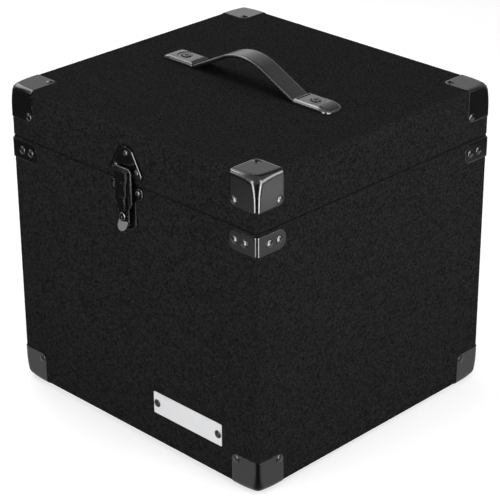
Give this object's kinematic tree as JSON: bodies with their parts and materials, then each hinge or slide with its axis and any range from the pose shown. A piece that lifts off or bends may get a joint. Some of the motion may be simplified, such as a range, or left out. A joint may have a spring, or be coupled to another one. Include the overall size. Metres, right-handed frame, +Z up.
{
  "type": "record carrying case",
  "caption": "Carpet-covered cube case for 12-inch records, with a hinged lid, riveted steel corners, a lever draw latch with a key lock, and a strap handle.",
  "frame": {"origin": "on the floor under the middle of the case", "axes": "+Z up; the latch side faces -Y and the hinges are on the +Y side; X runs along the latch side"},
  "size_m": [0.369, 0.3688, 0.3832],
  "materials": {
    "plywood": "black stained, matt",
    "carpet": "needle-punched felt carpet",
    "black_steel": "semi-gloss black",
    "black_fixings": "gloss black",
    "latch_steel": "gloss black plate",
    "bright_metal": "bright plated",
    "bare_steel": "zinc plated",
    "plate": "satin, plain",
    "strap": "satin black, lightly grained",
    "cap": "satin black"
  },
  "bodies": {
    "tub": {"tub_front_panel": "plywood", "tub_back_panel": "plywood", "tub_left_panel": "plywood", "tub_right_panel": "plywood", "tub_bottom_panel": "plywood", "tub_carpet": "carpet", "tub_corner_front_left": "black_steel", "tub_corner_front_right": "black_steel", "tub_corner_back_left": "black_steel", "tub_corner_back_right": "black_steel", "edge_brace_front_left": "black_steel", "edge_brace_front_right": "black_steel", "edge_brace_back_left": "black_steel", "edge_brace_back_right": "black_steel", "tub_corner_rivets": "black_fixings", "underside_rivets": "black_fixings", "edge_brace_rivets": "black_fixings", "hinge_left_tub_leaf": "black_steel", "hinge_right_tub_leaf": "black_steel", "hinge_left_pin": "bare_steel", "hinge_right_pin": "bare_steel", "hinge_tub_rivets": "black_fixings", "latch_base_plate": "latch_steel", "latch_base_pin": "bare_steel", "latch_wing_rivets": "black_fixings", "latch_tail_rivet": "black_fixings", "name_plate": "plate", "name_plate_rivets": "black_fixings"},
    "lid": {"lid_front_panel": "plywood", "lid_back_panel": "plywood", "lid_left_panel": "plywood", "lid_right_panel": "plywood", "lid_top_panel": "plywood", "lid_carpet": "carpet", "lid_corner_front_left": "black_steel", "lid_corner_front_right": "black_steel", "lid_corner_back_left": "black_steel", "lid_corner_back_right": "black_steel", "lid_corner_rivets": "black_fixings", "hinge_left_lid_leaf": "black_steel", "hinge_right_lid_leaf": "black_steel", "hinge_lid_rivets": "black_fixings", "latch_strike": "latch_steel", "strike_rivets": "black_fixings", "handle_strap": "strap", "handle_core": "bare_steel", "handle_cap_left": "cap", "handle_cap_right": "cap", "handle_screws": "black_fixings", "handle_nuts": "bare_steel"},
    "latch_link": {"latch_link": "latch_steel"},
    "latch_lever": {"latch_lever": "latch_steel", "latch_lever_pin": "bare_steel"},
    "key_lock": {"lock_plug": "bright_metal", "lock_cam": "bare_steel"}
  },
  "joints": [
    {"name": "lid_hinge", "type": "hinge", "parent": "tub", "child": "lid", "pos_m": [0, 0.179, 0.2925], "axis": [-1, 0, 0], "range_deg": [0, 180]},
    {"name": "latch_link_pivot", "type": "hinge", "parent": "tub", "child": "latch_link", "pos_m": [0, -0.1798, 0.2865], "axis": [-1, 0, 0], "range_deg": [0, 110]},
    {"name": "latch_lever_pivot", "type": "hinge", "parent": "latch_link", "child": "latch_lever", "pos_m": [0, -0.1791, 0.27052], "axis": [-1, 0, 0], "range_deg": [-94, 0]},
    {"name": "lock_turn", "type": "hinge", "parent": "latch_lever", "child": "key_lock", "pos_m": [0, -0.184, 0.2575], "axis": [0, -1, 0], "range_deg": [0, 90]}
  ],
  "couplings": [
    {"joint": "latch_lever_pivot", "follows": "latch_link_pivot", "ratio": -0.85}
  ]
}
